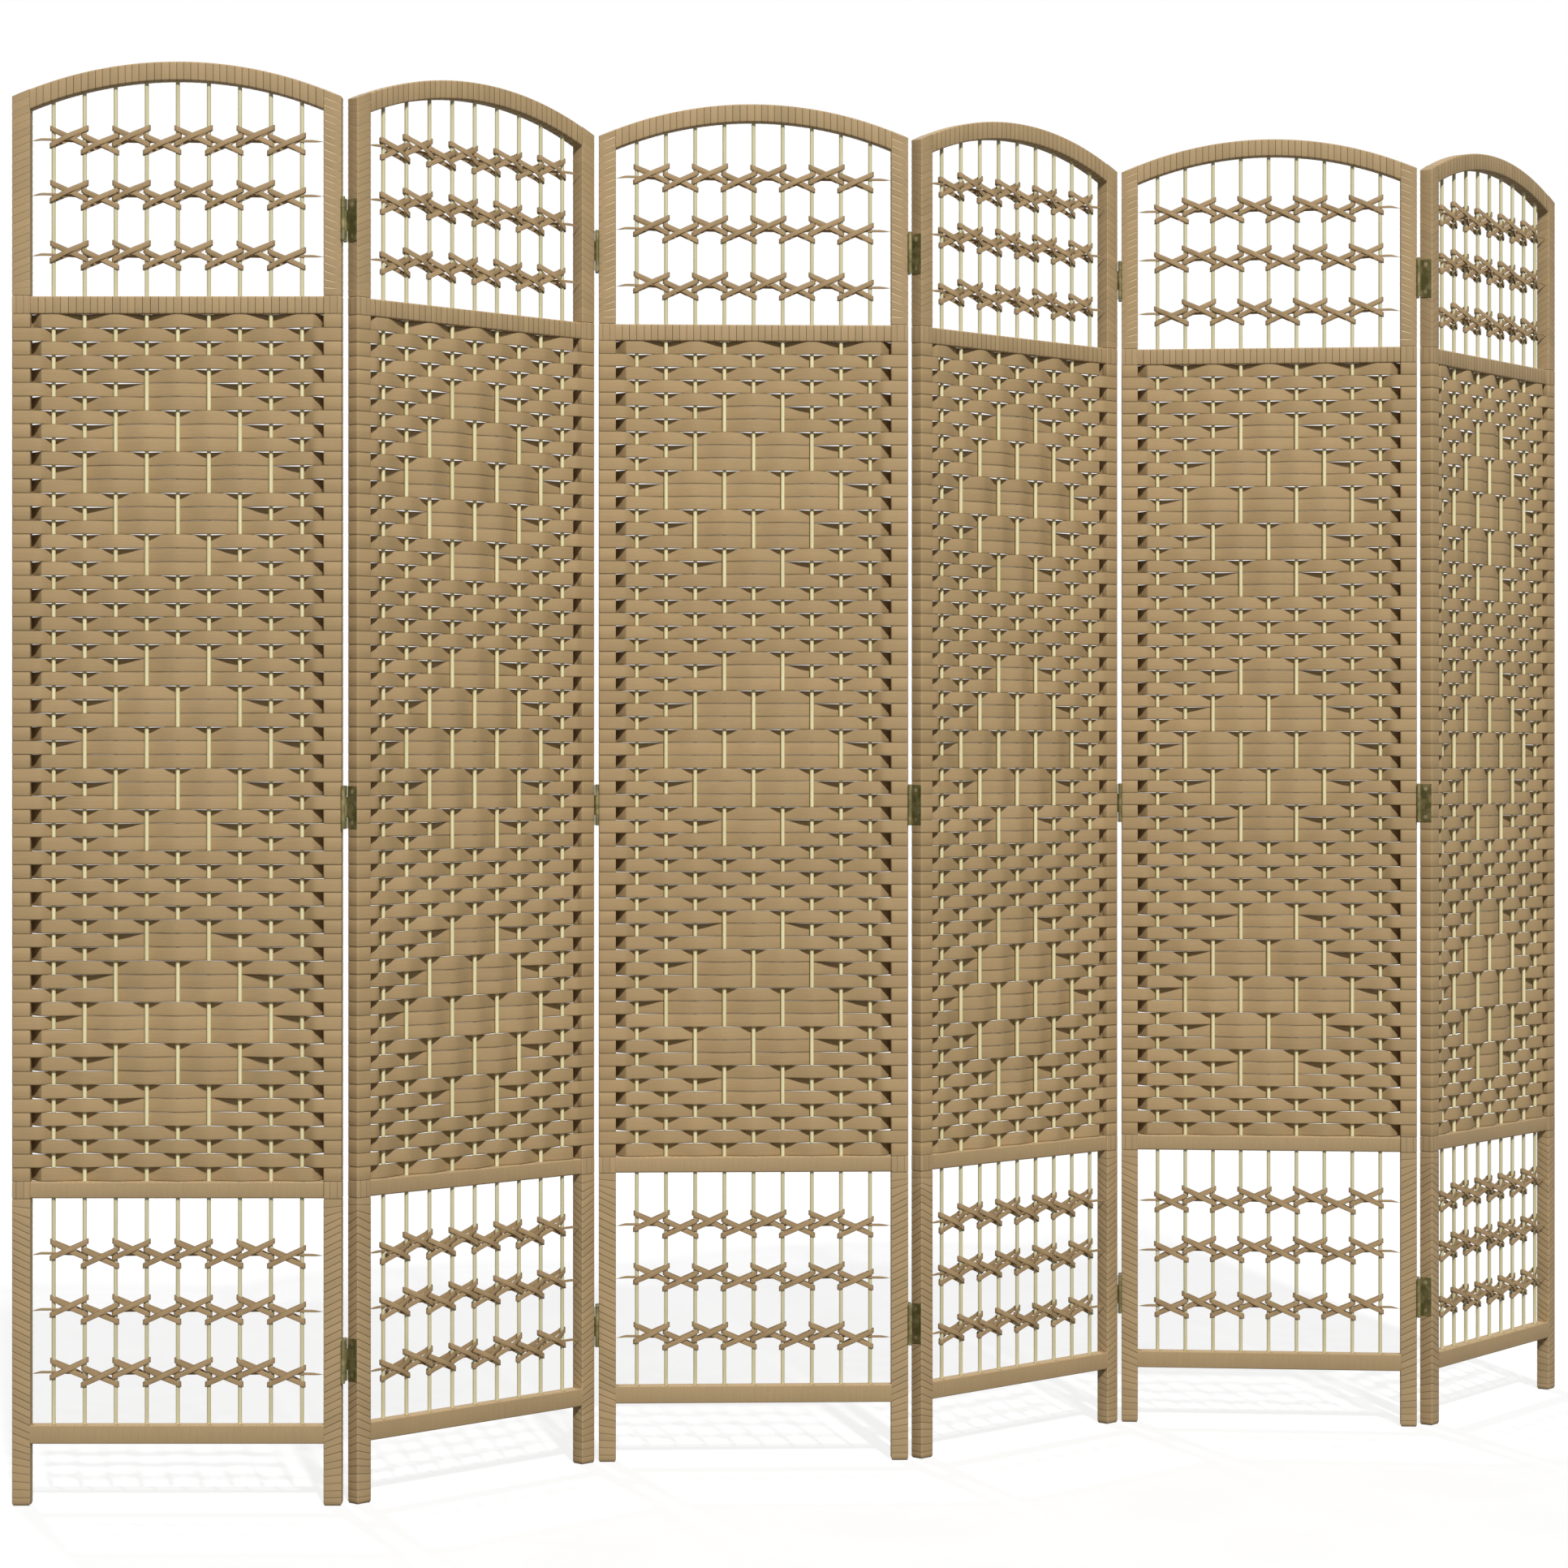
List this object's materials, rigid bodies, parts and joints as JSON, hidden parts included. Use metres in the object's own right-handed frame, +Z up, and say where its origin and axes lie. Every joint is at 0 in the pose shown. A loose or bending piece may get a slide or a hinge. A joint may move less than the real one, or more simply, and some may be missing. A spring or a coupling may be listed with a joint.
{
  "type": "folding screen",
  "caption": "Folding screen of six arched panels, woven fiber strips on thin rods in wound frames, with three brass hinges in each line so it folds flat.",
  "frame": {"origin": "on the floor, under the middle of the outline of the screen as it stands", "axes": "+Z up; +X along the first panel, towards the others; the front of the screen faces -Y"},
  "size_m": [1.9882, 0.8974, 1.6999],
  "materials": {
    "wound_frame": "satin",
    "rods": "satin",
    "woven_strips": "satin",
    "tying_band": "satin",
    "hinge_metal": "antique",
    "pin_metal": "antique",
    "screw_metal": "antique"
  },
  "bodies": {
    "panel_1": {"panel_1_left_stile": "wound_frame", "panel_1_right_stile": "wound_frame", "panel_1_rails": "wound_frame", "panel_1_rods": "rods", "panel_1_weave": "woven_strips", "panel_1_ties": "tying_band", "panel_1_hinge_leaves": "hinge_metal", "panel_1_screws": "screw_metal", "line_1_hinge_links": "hinge_metal", "line_1_hinge_pins": "pin_metal"},
    "panel_2": {"panel_2_left_stile": "wound_frame", "panel_2_right_stile": "wound_frame", "panel_2_rails": "wound_frame", "panel_2_rods": "rods", "panel_2_weave": "woven_strips", "panel_2_ties": "tying_band", "panel_2_hinge_leaves": "hinge_metal", "panel_2_screws": "screw_metal"},
    "panel_3": {"panel_3_left_stile": "wound_frame", "panel_3_right_stile": "wound_frame", "panel_3_rails": "wound_frame", "panel_3_rods": "rods", "panel_3_weave": "woven_strips", "panel_3_ties": "tying_band", "panel_3_hinge_leaves": "hinge_metal", "panel_3_screws": "screw_metal", "line_2_hinge_links": "hinge_metal", "line_2_hinge_pins": "pin_metal", "line_3_hinge_links": "hinge_metal", "line_3_hinge_pins": "pin_metal"},
    "panel_4": {"panel_4_left_stile": "wound_frame", "panel_4_right_stile": "wound_frame", "panel_4_rails": "wound_frame", "panel_4_rods": "rods", "panel_4_weave": "woven_strips", "panel_4_ties": "tying_band", "panel_4_hinge_leaves": "hinge_metal", "panel_4_screws": "screw_metal"},
    "panel_5": {"panel_5_left_stile": "wound_frame", "panel_5_right_stile": "wound_frame", "panel_5_rails": "wound_frame", "panel_5_rods": "rods", "panel_5_weave": "woven_strips", "panel_5_ties": "tying_band", "panel_5_hinge_leaves": "hinge_metal", "panel_5_screws": "screw_metal", "line_4_hinge_links": "hinge_metal", "line_4_hinge_pins": "pin_metal", "line_5_hinge_links": "hinge_metal", "line_5_hinge_pins": "pin_metal"},
    "panel_6": {"panel_6_left_stile": "wound_frame", "panel_6_right_stile": "wound_frame", "panel_6_rails": "wound_frame", "panel_6_rods": "rods", "panel_6_weave": "woven_strips", "panel_6_ties": "tying_band", "panel_6_hinge_leaves": "hinge_metal", "panel_6_screws": "screw_metal"}
  },
  "joints": [
    {"name": "line_1_back_pins", "type": "hinge", "parent": "panel_1", "child": "panel_2", "pos_m": [-0.60411, -0.42417, 0], "axis": [0, 0, 1], "range_deg": [-46.7, 133.3]},
    {"name": "line_2_front_pins", "type": "hinge", "parent": "panel_2", "child": "panel_3", "pos_m": [-0.31926, -0.15397, 0], "axis": [0, 0, -1], "range_deg": [-44.5, 135.5]},
    {"name": "line_3_back_pins", "type": "hinge", "parent": "panel_3", "child": "panel_4", "pos_m": [0.07161, -0.11694, 0], "axis": [0, 0, 1], "range_deg": [-43.7, 136.3]},
    {"name": "line_4_front_pins", "type": "hinge", "parent": "panel_4", "child": "panel_5", "pos_m": [0.36021, 0.14926, 0], "axis": [0, 0, -1], "range_deg": [-51.7, 128.3]},
    {"name": "line_5_back_pins", "type": "hinge", "parent": "panel_5", "child": "panel_6", "pos_m": [0.75242, 0.13153, 0], "axis": [0, 0, 1], "range_deg": [-60.5, 119.5]}
  ]
}
